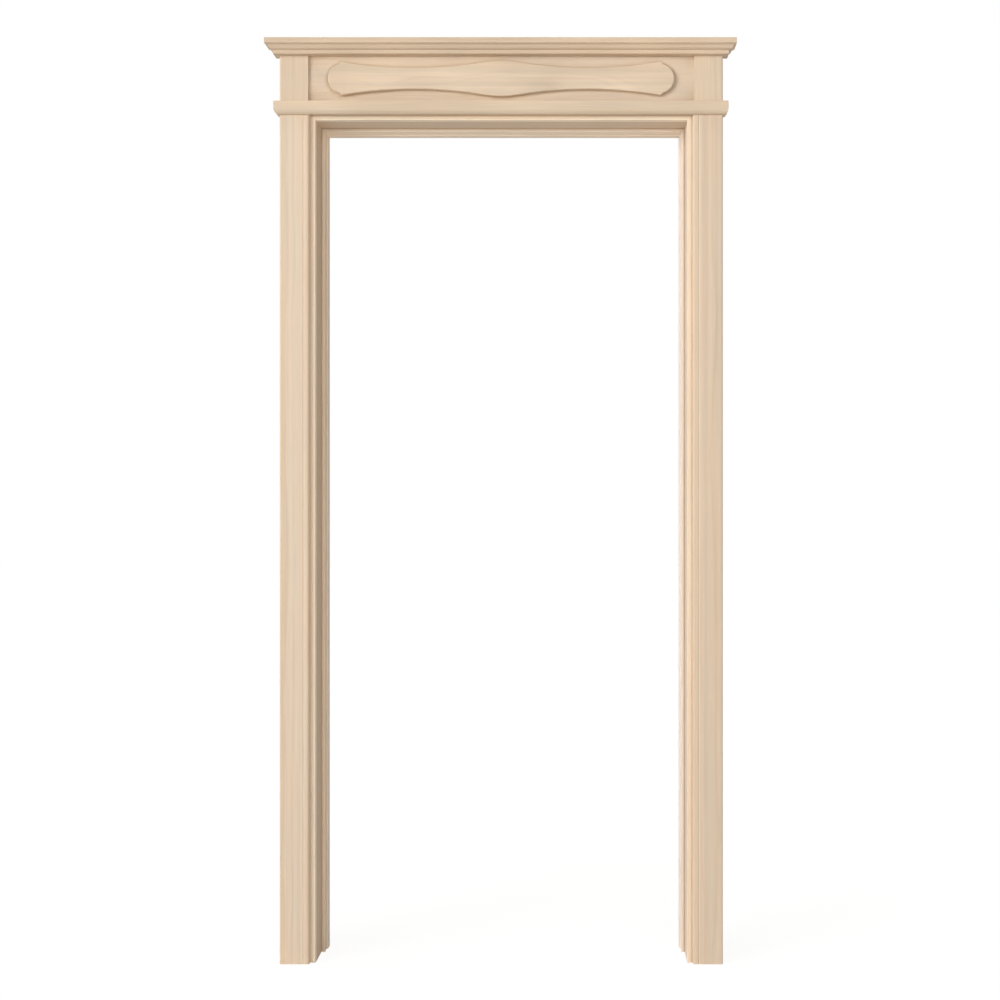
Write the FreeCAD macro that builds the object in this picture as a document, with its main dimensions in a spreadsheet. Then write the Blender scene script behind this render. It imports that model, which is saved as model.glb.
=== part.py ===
import FreeCAD, Part
import os
import re
import Sketcher

# Interior door frame in bare softwood: a lining of two side jambs and a head jamb, planted door
# stops, a front casing of beaded pilasters, frieze and crown, and plain architraves behind.
# Millimetres. X runs across the doorway, Y from the front to the back, Z up from the floor.
# The pieces are drawn with Y counted from the face of the pilasters, and X from the centre line.

# Each size of the frame: name, value, what it measures.
SIZES = [
    ("opening_width", 920, "between the side jambs"),
    ("opening_height", 2085, "floor to the underside of the head jamb"),
    ("jamb_thickness", 32, "side and head jambs"),
    ("jamb_depth", 150, "wall thickness that the lining covers"),
    ("head_housing", 12, "how far the head jamb is let into each side jamb"),
    ("leaf_rebate_depth", 45, "behind the stops, for a 44 mm door leaf"),
    ("stop_depth", 45, "front to back of the planted stop"),
    ("stop_thickness", 12.5, "stop at its thick rear part"),
    ("stop_front_thickness", 9, "stop at its stepped front part"),
    ("stop_step", 24, "depth of the stepped front part"),
    ("stop_quirk", 3, "square groove between the stop and the jamb"),
    ("stop_housing", 3, "how far each stop is let into its jamb"),
    ("pilaster_width", 74, "flat and bead together"),
    ("pilaster_thickness", 24, "pilasters, rails and frieze blocks"),
    ("pilaster_roundover", 4, "rounding of the outer edge"),
    ("back_relief_depth", 2, "hollow in the back of pilasters and rear architraves"),
    ("back_relief_edge", 15, "flat left beside the hollow, against the wall"),
    ("bead_width", 15, "flattened bead on the inner edge of the pilaster"),
    ("bead_radius", 6, "rounding of its inner edge"),
    ("bead_shoulder", 3, "rounding of its other edge, down into the groove"),
    ("bead_quirk_depth", 1.2, "fine groove beside the bead"),
    ("bead_quirk_width", 1.8, "same groove at the face"),
    ("strip_width", 9, "flat of the inner moulding"),
    ("strip_setback", 10, "its flat, behind the pilaster's face"),
    ("quirk_width", 4, "groove between the inner moulding and the pilaster"),
    ("quirk_depth", 2, "same groove"),
    ("tongue_width", 8, "tongue of the inner moulding under the pilaster"),
    ("tongue_thickness", 8, "same tongue"),
    ("joint_play", 0.2, "looseness of a tongue in its groove"),
    ("small_arris", 1.5, "easing of a sharp edge"),
    ("lower_rail_height", 30, "rail behind the band"),
    ("band_lap", 2, "how far the band hangs below its rail"),
    ("band_projection", 12.5, "band in front of the rail and past its ends"),
    ("band_arris", 2, "rounding of the band's upper edge"),
    ("band_round_height", 13, "rounded lower part of the band"),
    ("band_round_depth", 7.5, "how far the same part falls back"),
    ("frieze_height", 114, "between the two rails"),
    ("frieze_block_width", 71, "block above each pilaster"),
    ("frieze_setback", 5, "frieze behind the face of its blocks"),
    ("frieze_tongue_length", 6, "tongue round the frieze board"),
    ("frieze_tongue_thickness", 8, "same tongue"),
    ("frieze_tongue_setback", 5, "same tongue, behind the board's face"),
    ("groove_spare", 1, "groove deeper than its tongue is long"),
    ("ornament_end_margin", 49, "frieze left bare beside each rounded end"),
    ("ornament_peak_margin", 13, "frieze left bare above and below the peaks"),
    ("ornament_thickness", 9, "how far it stands off the frieze"),
    ("ornament_edge", 1.5, "easing of its front edge"),
    ("ornament_dip", 18, "waist inside the peak"),
    ("ornament_peak_radius", 252, "curve over the peak"),
    ("ornament_waist_shift", 18, "waist outward from halfway to the ear"),
    ("ornament_ear_inset", 33, "ears inside the tip of the rounded end"),
    ("ornament_ear_drop", 6, "start of the rounded end inside the ear"),
    ("ornament_end_rise", 28, "depth of the rounded end"),
    ("crown_height", 35, "crown and the rail behind it"),
    ("crown_projection", 31, "crown in front of the rail and past its ends"),
    ("fascia_height", 13.5, "square upper member"),
    ("fascia_fillet", 1, "small step under the fascia"),
    ("crown_ogee_radius", 10, "both halves of the ogee"),
    ("crown_foot_projection", 14, "lowest member of the crown"),
    ("crown_foot_height", 9.5, "same member"),
    ("crown_foot_round", 2.5, "rounding of its lower edge"),
    ("architrave_width", 70, "plain architrave on the rear side"),
    ("architrave_thickness", 16, "same piece"),
    ("architrave_margin", 5, "jamb edge left bare beside it"),
    ("architrave_round", 3, "rounding of its rear edges"),
    ("screw_length", 70, "screws that hold the head jamb"),
    ("screw_diameter", 4.5, "plain shank"),
    ("screw_head_diameter", 9, "countersunk head"),
    ("screw_head_height", 4, "same head"),
    ("screw_tip_length", 6, "pointed end"),
    ("screw_tip_diameter", 1, "blunted point"),
    ("screw_edge_distance", 25, "outer screws from the edges of the jamb"),
    ("dowel_diameter", 10, "dowels between blocks and rails"),
    ("dowel_length", 40, "same dowels"),
    ("dowel_inset", 17.5, "axis of each dowel from the side of its block"),
    ("dowel_spare", 1, "hole deeper than the dowel"),
]

# Places that several pieces share, worked out from the sizes.
HALF_OPENING = "opening_width / 2"
PILASTER_INSIDE = f"({HALF_OPENING} + strip_width + quirk_width)"
TONGUE_OUTSIDE = f"({PILASTER_INSIDE} + tongue_width)"
TONGUE_FRONT = "(pilaster_thickness - tongue_thickness)"
OUTER_EDGE = f"({PILASTER_INSIDE} + pilaster_width)"
BLOCK_INSIDE = f"({OUTER_EDGE} - frieze_block_width)"
JAMB_BACK = "(pilaster_thickness + jamb_depth)"
STOP_BACK = f"({JAMB_BACK} - leaf_rebate_depth)"
STOP_FACE = f"({STOP_BACK} - stop_depth)"
STOP_SEAT = f"({STOP_FACE} + stop_quirk)"
HEAD_TOP = "(opening_height + jamb_thickness)"
RAIL_FOOT = "(opening_height + strip_width + quirk_width)"
FRIEZE_FOOT = f"({RAIL_FOOT} + lower_rail_height)"
FRIEZE_TOP = f"({FRIEZE_FOOT} + frieze_height)"
FRAME_TOP = f"({FRIEZE_TOP} + crown_height)"
BAND_FOOT = f"({RAIL_FOOT} - band_lap)"
GROOVE_DEPTH = "(frieze_tongue_length + groove_spare)"
GROOVE_FRONT = "(frieze_setback + frieze_tongue_setback - joint_play / 2)"
GROOVE_BACK = f"({GROOVE_FRONT} + frieze_tongue_thickness + joint_play)"
FACE_PLACE = f"(crown_projection - {JAMB_BACK} - architrave_thickness) / 2"
SIDES = (("left", -1), ("right", 1))

doc = FreeCAD.newDocument("door_frame")
sheet = doc.addObject("Spreadsheet::Sheet", "Sizes")
for row, (alias, value, meaning) in enumerate(SIZES, start=1):
    sheet.set(f"A{row}", alias)
    sheet.set(f"B{row}", str(value))
    sheet.set(f"C{row}", meaning)
    sheet.setAlias(f"B{row}", alias)
doc.recompute()

ALIAS_WORDS = re.compile(r"\b(" + "|".join(alias for alias, value, meaning in SIZES) + r")\b")
pieces = []


def sized(text):
    """The same formula with each size read from the sheet."""
    return ALIAS_WORDS.sub(r"Sizes.\1", str(text))


def number(text):
    """What a formula of sizes comes to, in millimetres."""
    return float(sheet.evalExpression(sized(text)))


def new_body(name):
    """An empty body whose Y is counted from the face of the pilasters."""
    body = doc.addObject("PartDesign::Body", name)
    body.Label = name
    body.setExpression("Placement.Base.y", sized(FACE_PLACE))
    return body


def draw(body, name, plane, corners, arcs=None, offset="0"):
    """A closed outline on one of the body's planes, each corner held by its two distances.

    arcs gives, for the corner that an arc starts from, its radius and the side that it bulges to:
    1 for the left of the way from this corner to the next, -1 for the right.
    """
    arcs = arcs or {}
    sketch = body.newObject("Sketcher::SketchObject", name)
    sketch.AttachmentSupport = ([o for o in body.Origin.OriginFeatures if o.Role == plane][0], [""])
    sketch.MapMode = "FlatFace"
    sketch.setExpression("AttachmentOffset.Base.z", sized(offset))
    spots = [FreeCAD.Vector(number(across), number(along), 0) for across, along in corners]
    ends = []
    for index, start in enumerate(spots):
        finish = spots[(index + 1) % len(spots)]
        if index not in arcs:
            sketch.addGeometry(Part.LineSegment(start, finish))
            ends.append((1, 2))
            continue
        radius, bulge = number(arcs[index][0]), arcs[index][1]
        chord = finish - start
        rise = radius - (radius ** 2 - (chord.Length / 2) ** 2) ** 0.5
        outward = FreeCAD.Vector(-chord.y, chord.x, 0).normalize() * bulge
        middle = start + chord / 2 + outward * rise
        if bulge < 0:
            sketch.addGeometry(Part.Arc(start, middle, finish))
            ends.append((1, 2))
        else:
            sketch.addGeometry(Part.Arc(finish, middle, start))
            ends.append((2, 1))
    for index, spot in enumerate(spots):
        after = (index + 1) % len(spots)
        sketch.addConstraint(
            Sketcher.Constraint("Coincident", index, ends[index][1], after, ends[after][0]))
        for kind, formula, size in (
                ("DistanceX", corners[index][0], spot.x),
                ("DistanceY", corners[index][1], spot.y)):
            held = Sketcher.Constraint(kind, -1, 1, index, ends[index][0], size)
            sketch.setExpression(f"Constraints[{sketch.addConstraint(held)}]", sized(formula))
        if index in arcs:
            held = Sketcher.Constraint("Radius", index, number(arcs[index][0]))
            sketch.setExpression(
                f"Constraints[{sketch.addConstraint(held)}]", sized(arcs[index][0]))
    return sketch


def pad(body, name, sketch, length, both_ways=False):
    """Grow a sketch by a length, from its plane or half to each side of it."""
    feature = body.newObject("PartDesign::Pad", name)
    feature.Profile = sketch
    feature.SideType = "Symmetric" if both_ways else "One side"
    feature.setExpression("Length", sized(length))
    body.Tip = feature
    doc.recompute()
    return feature


def cut(body, name, sketch, length=None):
    """Cut a sketch out of the body, half the length to each side, or right through."""
    before = body.Shape.Volume
    feature = body.newObject("PartDesign::Pocket", name)
    feature.Profile = sketch
    feature.SideType = "Symmetric"
    if length is None:
        feature.Type = "ThroughAll"
    else:
        feature.setExpression("Length", sized(length))
    body.Tip = feature
    doc.recompute()
    if not body.Shape.Volume < before:
        raise RuntimeError(f"{feature.Name} cuts nothing")
    return feature


def to_side(sign, corners):
    """The same corners on the left or the right of the doorway."""
    return [(f"{sign} * ({across})", along) for across, along in corners]


def sided_arcs(sign, arcs):
    """The same arcs on the left or the right of the doorway, where they bulge the other way."""
    return {corner: (radius, bulge * sign) for corner, (radius, bulge) in arcs.items()}


def cylinder(name, radius, height, place, axis):
    """A round bar or hole, from its place along an axis."""
    bar = doc.addObject("Part::Cylinder", name)
    bar.setExpression("Radius", sized(radius))
    bar.setExpression("Height", sized(height))
    stand(bar, place, axis)
    return bar


def cone(name, radius, end_radius, height, place, axis):
    """A tapered bar or hole, from its place along an axis."""
    taper = doc.addObject("Part::Cone", name)
    taper.setExpression("Radius1", sized(radius))
    taper.setExpression("Radius2", sized(end_radius))
    taper.setExpression("Height", sized(height))
    stand(taper, place, axis)
    return taper


def stand(solid, place, axis):
    """Point a primitive along its axis and bind its place to the sheet."""
    turn = FreeCAD.Rotation(FreeCAD.Vector(0, 0, 1), axis)
    solid.Placement = FreeCAD.Placement(FreeCAD.Vector(), turn)
    for letter, formula in zip("xyz", place):
        solid.setExpression(f"Placement.Base.{letter}", sized(formula))


def together(name, solids):
    """Several solids as one group."""
    group = doc.addObject("Part::Compound", name)
    group.Label = name
    group.Links = solids
    return group


def drilled(name, blank, holes):
    """A piece with its holes cut out."""
    piece = doc.addObject("Part::Cut", name)
    piece.Label = name
    piece.Base = blank
    piece.Tool = together(f"{name}_holes", holes)
    doc.recompute()
    return piece


def profile_in_room(corners):
    """Front profile as (Y, Z) corners, from its (projection, height) corners."""
    return [(f"-({out})", height) for out, height in corners]


# Lining: side jambs, each rebated at the top for the end of the head jamb, and all three jambs
# grooved for their stops.
jamb_blanks = {}
for side, sign in SIDES:
    blank = new_body(f"{side}_jamb_blank")
    section = draw(blank, f"{side}_jamb_section", "XY_Plane", to_side(sign, [
        (HALF_OPENING, "pilaster_thickness"),
        (f"{HALF_OPENING} + jamb_thickness", "pilaster_thickness"),
        (f"{HALF_OPENING} + jamb_thickness", JAMB_BACK),
        (HALF_OPENING, JAMB_BACK)]))
    pad(blank, f"{side}_jamb_length", section, HEAD_TOP)
    housing = draw(blank, f"{side}_jamb_housing", "XZ_Plane", to_side(sign, [
        (HALF_OPENING, "opening_height"),
        (f"{HALF_OPENING} + head_housing", "opening_height"),
        (f"{HALF_OPENING} + head_housing", HEAD_TOP),
        (HALF_OPENING, HEAD_TOP)]))
    cut(blank, f"{side}_jamb_housing_cut", housing)
    stop_groove = draw(blank, f"{side}_jamb_stop_groove", "XY_Plane", to_side(sign, [
        (HALF_OPENING, STOP_SEAT),
        (f"{HALF_OPENING} + stop_housing", STOP_SEAT),
        (f"{HALF_OPENING} + stop_housing", STOP_BACK),
        (HALF_OPENING, STOP_BACK)]))
    cut(blank, f"{side}_jamb_stop_groove_cut", stop_groove)
    jamb_blanks[side] = blank

head_blank = new_body("head_jamb_blank")
section = draw(head_blank, "head_jamb_section", "YZ_Plane", [
    ("pilaster_thickness", "opening_height"),
    (JAMB_BACK, "opening_height"),
    (JAMB_BACK, HEAD_TOP),
    ("pilaster_thickness", HEAD_TOP)])
pad(head_blank, "head_jamb_length", section, "opening_width + 2 * head_housing", both_ways=True)
stop_groove = draw(head_blank, "head_jamb_stop_groove", "YZ_Plane", [
    (STOP_SEAT, "opening_height"),
    (STOP_BACK, "opening_height"),
    (STOP_BACK, "opening_height + stop_housing"),
    (STOP_SEAT, "opening_height + stop_housing")])
cut(head_blank, "head_jamb_stop_groove_cut", stop_groove, "opening_width")

# Three countersunk screws at each end go through the side jamb into the head jamb's end grain.
screws = []
side_holes = {"left": [], "right": []}
head_holes = []
SCREW_ROWS = (
    "pilaster_thickness + screw_edge_distance",
    "pilaster_thickness + jamb_depth / 2",
    f"{JAMB_BACK} - screw_edge_distance")
SCREW_HEAD = ("screw_head_diameter / 2", "screw_diameter / 2", "screw_head_height")
SCREW_TIP = ("screw_diameter / 2", "screw_tip_diameter / 2", "screw_tip_length")
SHANK_LENGTH = "screw_length - screw_head_height - screw_tip_length"
TIP_PLACE = "screw_length - screw_tip_length"


def screw_place(sign, depth, distance):
    """A point on a screw's axis, its distance inward from the outer face of the side jamb."""
    return (f"{sign} * ({HALF_OPENING} + jamb_thickness - ({distance}))",
            f"{FACE_PLACE} + {depth}", "opening_height + jamb_thickness / 2")


for side, sign in SIDES:
    inward = FreeCAD.Vector(-sign, 0, 0)
    for row, depth in enumerate(SCREW_ROWS, start=1):
        outer_face = screw_place(sign, depth, "0")
        below_head = screw_place(sign, depth, "screw_head_height")
        tip_start = screw_place(sign, depth, TIP_PLACE)
        screw = doc.addObject("Part::MultiFuse", f"{side}_screw_{row}")
        screw.Shapes = [
            cone(f"{side}_screw_head_{row}", *SCREW_HEAD, outer_face, inward),
            cylinder(f"{side}_screw_shank_{row}", "screw_diameter / 2", SHANK_LENGTH,
                     below_head, inward),
            cone(f"{side}_screw_tip_{row}", *SCREW_TIP, tip_start, inward)]
        screw.Refine = True
        screws.append(screw)
        side_holes[side].append(
            cone(f"{side}_countersink_{row}", *SCREW_HEAD, outer_face, inward))
        side_holes[side].append(
            cylinder(f"{side}_clearance_{row}", "screw_diameter / 2", "jamb_thickness",
                     outer_face, inward))
        head_holes.append(
            cylinder(f"{side}_pilot_{row}", "screw_diameter / 2", "screw_length",
                     outer_face, inward))
for side, sign in SIDES:
    pieces.append(drilled(f"{side}_jamb", jamb_blanks[side], side_holes[side]))
pieces.append(drilled("head_jamb", head_blank, head_holes))
pieces.append(together("corner_screws", screws))

# Door stops: strips let into the jambs, with a stepped front edge and a square quirk.
stop_profile = [
    ("0", STOP_SEAT),
    ("stop_quirk", STOP_SEAT),
    ("stop_quirk", STOP_FACE),
    ("stop_front_thickness - small_arris", STOP_FACE),
    ("stop_front_thickness", f"{STOP_FACE} + small_arris"),
    ("stop_front_thickness", f"{STOP_FACE} + stop_step"),
    ("stop_thickness - small_arris", f"{STOP_FACE} + stop_step"),
    ("stop_thickness", f"{STOP_FACE} + stop_step + small_arris"),
    ("stop_thickness", STOP_BACK),
    ("0", STOP_BACK),
    ("0", f"{STOP_BACK} - joint_play"),
    ("-stop_housing", f"{STOP_BACK} - joint_play"),
    ("-stop_housing", f"{STOP_SEAT} + joint_play"),
    ("0", f"{STOP_SEAT} + joint_play")]
for side, sign in SIDES:
    body = new_body(f"{side}_stop")
    corners = [(f"{HALF_OPENING} - ({proud})", depth) for proud, depth in stop_profile]
    arcs = sided_arcs(sign, {3: ("small_arris", 1), 6: ("small_arris", 1)})
    section = draw(body, f"{side}_stop_section", "XY_Plane", to_side(sign, corners), arcs)
    pad(body, f"{side}_stop_length", section, "opening_height")
    mitre = draw(body, f"{side}_stop_mitre", "XZ_Plane", to_side(sign, [
        (HALF_OPENING, "opening_height"),
        (f"{HALF_OPENING} - stop_thickness", "opening_height"),
        (f"{HALF_OPENING} - stop_thickness", "opening_height - stop_thickness")]))
    cut(body, f"{side}_stop_mitre_cut", mitre)
    pieces.append(body)

body = new_body("head_stop")
corners = [(depth, f"opening_height - ({proud})") for proud, depth in stop_profile]
section = draw(body, "head_stop_section", "YZ_Plane", corners,
               {3: ("small_arris", -1), 6: ("small_arris", -1)})
pad(body, "head_stop_length", section, "opening_width", both_ways=True)
for side, sign in SIDES:
    mitre = draw(body, f"head_stop_{side}_mitre", "XZ_Plane", to_side(sign, [
        (HALF_OPENING, "opening_height"),
        (HALF_OPENING, "opening_height - stop_thickness"),
        (f"{HALF_OPENING} - stop_thickness", "opening_height - stop_thickness")]))
    cut(body, f"head_stop_{side}_mitre_cut", mitre)
pieces.append(body)

# Pilasters: flat boards with a flattened bead on the inner edge, a fine groove beside it, and a
# rebate behind. The arc of the bead's shoulder runs on from its flat top. Their backs are hollowed
# where they leave the jamb, so that the outer edge sits on the wall.
BEAD_EDGE = f"({PILASTER_INSIDE} + bead_width)"
SHOULDER_RADIUS = "((bead_shoulder ^ 2 + bead_quirk_depth ^ 2) / (2 * bead_quirk_depth))"
for side, sign in SIDES:
    body = new_body(f"{side}_pilaster")
    corners = [
        (OUTER_EDGE, "pilaster_roundover"),
        (f"{OUTER_EDGE} - pilaster_roundover", "0"),
        (f"{BEAD_EDGE} + bead_quirk_width", "0"),
        (BEAD_EDGE, "bead_quirk_depth"),
        (f"{BEAD_EDGE} - bead_shoulder", "0"),
        (f"{PILASTER_INSIDE} + bead_radius", "0"),
        (PILASTER_INSIDE, "bead_radius"),
        (PILASTER_INSIDE, f"{TONGUE_FRONT} - joint_play"),
        (f"{TONGUE_OUTSIDE} + joint_play", f"{TONGUE_FRONT} - joint_play"),
        (f"{TONGUE_OUTSIDE} + joint_play", "pilaster_thickness"),
        (f"{HALF_OPENING} + jamb_thickness", "pilaster_thickness"),
        (f"{HALF_OPENING} + jamb_thickness", "pilaster_thickness - back_relief_depth"),
        (f"{OUTER_EDGE} - back_relief_edge", "pilaster_thickness - back_relief_depth"),
        (f"{OUTER_EDGE} - back_relief_edge", "pilaster_thickness"),
        (OUTER_EDGE, "pilaster_thickness")]
    arcs = sided_arcs(sign, {0: ("pilaster_roundover", 1), 3: (SHOULDER_RADIUS, 1), 5: ("bead_radius", 1)})
    section = draw(body, f"{side}_pilaster_section", "XY_Plane", to_side(sign, corners), arcs)
    pad(body, f"{side}_pilaster_length", section, RAIL_FOOT)
    pieces.append(body)

# Inner moulding: one strip, mitred round the opening, with its tongue under pilasters and rail.
inner_profile = [
    ("0", "strip_setback + small_arris"),
    ("small_arris", "strip_setback"),
    ("strip_width", "strip_setback"),
    ("strip_width", "strip_setback + quirk_depth"),
    ("strip_width + quirk_width", "strip_setback + quirk_depth"),
    ("strip_width + quirk_width", TONGUE_FRONT),
    ("strip_width + quirk_width + tongue_width", TONGUE_FRONT),
    ("strip_width + quirk_width + tongue_width", "pilaster_thickness"),
    ("0", "pilaster_thickness")]
MOULDING_WIDTH = "(strip_width + quirk_width + tongue_width)"
for side, sign in SIDES:
    body = new_body(f"{side}_inner_moulding")
    corners = [(f"{HALF_OPENING} + {across}", depth) for across, depth in inner_profile]
    arcs = sided_arcs(sign, {0: ("small_arris", -1)})
    section = draw(body, f"{side}_inner_section", "XY_Plane", to_side(sign, corners), arcs)
    pad(body, f"{side}_inner_length", section, f"opening_height + {MOULDING_WIDTH}")
    mitre = draw(body, f"{side}_inner_mitre", "XZ_Plane", to_side(sign, [
        (HALF_OPENING, "opening_height"),
        (f"{HALF_OPENING} + {MOULDING_WIDTH}", f"opening_height + {MOULDING_WIDTH}"),
        (HALF_OPENING, f"opening_height + {MOULDING_WIDTH}")]))
    cut(body, f"{side}_inner_mitre_cut", mitre)
    pieces.append(body)

body = new_body("head_inner_moulding")
corners = [(depth, f"opening_height + {across}") for across, depth in inner_profile]
section = draw(body, "head_inner_section", "YZ_Plane", corners, {0: ("small_arris", 1)})
pad(body, "head_inner_length", section, f"opening_width + 2 * {MOULDING_WIDTH}", both_ways=True)
for side, sign in SIDES:
    mitre = draw(body, f"head_inner_{side}_mitre", "XZ_Plane", to_side(sign, [
        (HALF_OPENING, "opening_height"),
        (f"{HALF_OPENING} + {MOULDING_WIDTH}", "opening_height"),
        (f"{HALF_OPENING} + {MOULDING_WIDTH}", f"opening_height + {MOULDING_WIDTH}")]))
    cut(body, f"head_inner_{side}_mitre_cut", mitre)
pieces.append(body)

# Header: two full-width rails, a block above each pilaster and a frieze board tongued all round.
def rail_blank(name, foot, top):
    """A full-width rail, before its grooves."""
    blank = new_body(name)
    outline = draw(blank, f"{name}_section", "YZ_Plane", [
        ("0", foot), ("pilaster_thickness", foot), ("pilaster_thickness", top), ("0", top)])
    pad(blank, f"{name}_length", outline, f"2 * {OUTER_EDGE}", both_ways=True)
    return blank


def frieze_groove(blank, name, foot, top):
    """The groove that takes the frieze board's tongue, between the two blocks."""
    outline = draw(blank, f"{name}_groove", "YZ_Plane", [
        (GROOVE_FRONT, foot), (GROOVE_BACK, foot), (GROOVE_BACK, top), (GROOVE_FRONT, top)])
    cut(blank, f"{name}_groove_cut", outline, f"2 * {BLOCK_INSIDE} + 2 * {GROOVE_DEPTH}")


lower_blank = rail_blank("lower_rail_blank", RAIL_FOOT, FRIEZE_FOOT)
frieze_groove(lower_blank, "lower_rail", f"{FRIEZE_FOOT} - {GROOVE_DEPTH}", FRIEZE_FOOT)
rebate = draw(lower_blank, "lower_rail_rebate", "YZ_Plane", [
    (f"{TONGUE_FRONT} - joint_play", RAIL_FOOT),
    ("pilaster_thickness", RAIL_FOOT),
    ("pilaster_thickness", f"{RAIL_FOOT} + tongue_width + joint_play"),
    (f"{TONGUE_FRONT} - joint_play", f"{RAIL_FOOT} + tongue_width + joint_play")])
cut(lower_blank, "lower_rail_rebate_cut", rebate, f"2 * {TONGUE_OUTSIDE} + 2 * joint_play")
upper_blank = rail_blank("upper_rail_blank", FRIEZE_TOP, FRAME_TOP)
frieze_groove(upper_blank, "upper_rail", FRIEZE_TOP, f"{FRIEZE_TOP} + {GROOVE_DEPTH}")

block_blanks = {}
for side, sign in SIDES:
    blank = new_body(f"{side}_block_blank")
    arcs = sided_arcs(sign, {1: ("pilaster_roundover", -1)})
    section = draw(blank, f"{side}_block_section", "XY_Plane", to_side(sign, [
        (BLOCK_INSIDE, "0"),
        (f"{OUTER_EDGE} - pilaster_roundover", "0"),
        (OUTER_EDGE, "pilaster_roundover"),
        (OUTER_EDGE, "pilaster_thickness"),
        (BLOCK_INSIDE, "pilaster_thickness")]), arcs, offset=FRIEZE_FOOT)
    pad(blank, f"{side}_block_height", section, "frieze_height")
    groove = draw(blank, f"{side}_block_groove", "XY_Plane", to_side(sign, [
        (BLOCK_INSIDE, GROOVE_FRONT),
        (f"{BLOCK_INSIDE} + {GROOVE_DEPTH}", GROOVE_FRONT),
        (f"{BLOCK_INSIDE} + {GROOVE_DEPTH}", GROOVE_BACK),
        (BLOCK_INSIDE, GROOVE_BACK)]))
    cut(blank, f"{side}_block_groove_cut", groove)
    block_blanks[side] = blank

# Two dowels join each block to the rail below it and to the rail above it.
dowels = []
dowel_holes = {"left_block": [], "right_block": [], "lower_rail": [], "upper_rail": []}
for side, sign in SIDES:
    for rail, joint in (("lower_rail", FRIEZE_FOOT), ("upper_rail", FRIEZE_TOP)):
        for edge, from_centre in (
                ("inner", f"{BLOCK_INSIDE} + dowel_inset"),
                ("outer", f"{OUTER_EDGE} - dowel_inset")):
            label = f"{side}_{rail}_{edge}_dowel"
            across = f"{sign} * ({from_centre})"
            middle = f"{FACE_PLACE} + pilaster_thickness / 2"
            up = FreeCAD.Vector(0, 0, 1)
            dowels.append(cylinder(
                label, "dowel_diameter / 2", "dowel_length",
                (across, middle, f"{joint} - dowel_length / 2"), up))
            for wood in (f"{side}_block", rail):
                dowel_holes[wood].append(cylinder(
                    f"{label}_hole_in_{wood}", "dowel_diameter / 2", "dowel_length + 2 * dowel_spare",
                    (across, middle, f"{joint} - dowel_length / 2 - dowel_spare"), up))
pieces.append(drilled("lower_rail", lower_blank, dowel_holes["lower_rail"]))
pieces.append(drilled("upper_rail", upper_blank, dowel_holes["upper_rail"]))
for side, sign in SIDES:
    pieces.append(drilled(f"{side}_frieze_block", block_blanks[side], dowel_holes[f"{side}_block"]))
pieces.append(together("header_dowels", dowels))

board = new_body("frieze_board")
face = draw(board, "frieze_face", "XZ_Plane", [
    (f"-{BLOCK_INSIDE}", FRIEZE_FOOT), (BLOCK_INSIDE, FRIEZE_FOOT),
    (BLOCK_INSIDE, FRIEZE_TOP), (f"-{BLOCK_INSIDE}", FRIEZE_TOP)],
    offset="-pilaster_thickness")
pad(board, "frieze_board_thickness", face, "pilaster_thickness - frieze_setback")
tongue = draw(board, "frieze_tongue", "XZ_Plane", [
    (f"-({BLOCK_INSIDE} + frieze_tongue_length)", f"{FRIEZE_FOOT} - frieze_tongue_length"),
    (f"{BLOCK_INSIDE} + frieze_tongue_length", f"{FRIEZE_FOOT} - frieze_tongue_length"),
    (f"{BLOCK_INSIDE} + frieze_tongue_length", f"{FRIEZE_TOP} + frieze_tongue_length"),
    (f"-({BLOCK_INSIDE} + frieze_tongue_length)", f"{FRIEZE_TOP} + frieze_tongue_length")],
    offset="-(frieze_setback + frieze_tongue_setback + frieze_tongue_thickness)")
pad(board, "frieze_tongue_thickness", tongue, "frieze_tongue_thickness")
pieces.append(board)

# Applied ornament: a long shaped panel with a peak at the centre, a waist on each side of it,
# and an eared, rounded end. The arc over the peak runs into the arcs of the two waists where
# the line through their centres crosses them.
FRIEZE_MIDDLE = f"({FRIEZE_FOOT} + frieze_height / 2)"
ORNAMENT_TIP = f"({BLOCK_INSIDE} - ornament_end_margin)"
END_PLACE = f"({ORNAMENT_TIP} - ornament_end_rise)"
EAR_PLACE = f"({ORNAMENT_TIP} - ornament_ear_inset)"
WAIST_PLACE = f"({EAR_PLACE} / 2 + ornament_waist_shift)"
PEAK = "(frieze_height / 2 - ornament_peak_margin)"
WAIST = f"({PEAK} - ornament_dip)"
BOTH_RADII = f"(({WAIST_PLACE} ^ 2 + ornament_dip ^ 2) / (2 * ornament_dip))"
WAIST_RADIUS = f"({BOTH_RADII} - ornament_peak_radius)"
EAR = f"({WAIST} + {WAIST_RADIUS} - sqrt({WAIST_RADIUS} ^ 2 - ({EAR_PLACE} - {WAIST_PLACE}) ^ 2))"
END_HEIGHT = f"({EAR} - ornament_ear_drop)"
END_RADIUS = f"(({END_HEIGHT} ^ 2 + ornament_end_rise ^ 2) / (2 * ornament_end_rise))"
quarter = [
    (END_PLACE, END_HEIGHT),
    (EAR_PLACE, EAR),
    (f"{WAIST_PLACE} * ornament_peak_radius / {BOTH_RADII}",
     f"{PEAK} - ornament_dip * ornament_peak_radius / {BOTH_RADII}")]
above = [(f"-({across})", f"{FRIEZE_MIDDLE} + {high}") for across, high in quarter]
above += [(across, f"{FRIEZE_MIDDLE} + {high}") for across, high in reversed(quarter)]
below = [(across, f"{FRIEZE_MIDDLE} - ({high})") for across, high in quarter]
below += [(f"-({across})", f"{FRIEZE_MIDDLE} - ({high})") for across, high in reversed(quarter)]
curves = {
    1: (WAIST_RADIUS, -1), 2: ("ornament_peak_radius", 1), 3: (WAIST_RADIUS, -1),
    5: (END_RADIUS, 1), 7: (WAIST_RADIUS, -1), 8: ("ornament_peak_radius", 1),
    9: (WAIST_RADIUS, -1), 11: (END_RADIUS, 1)}
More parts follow.
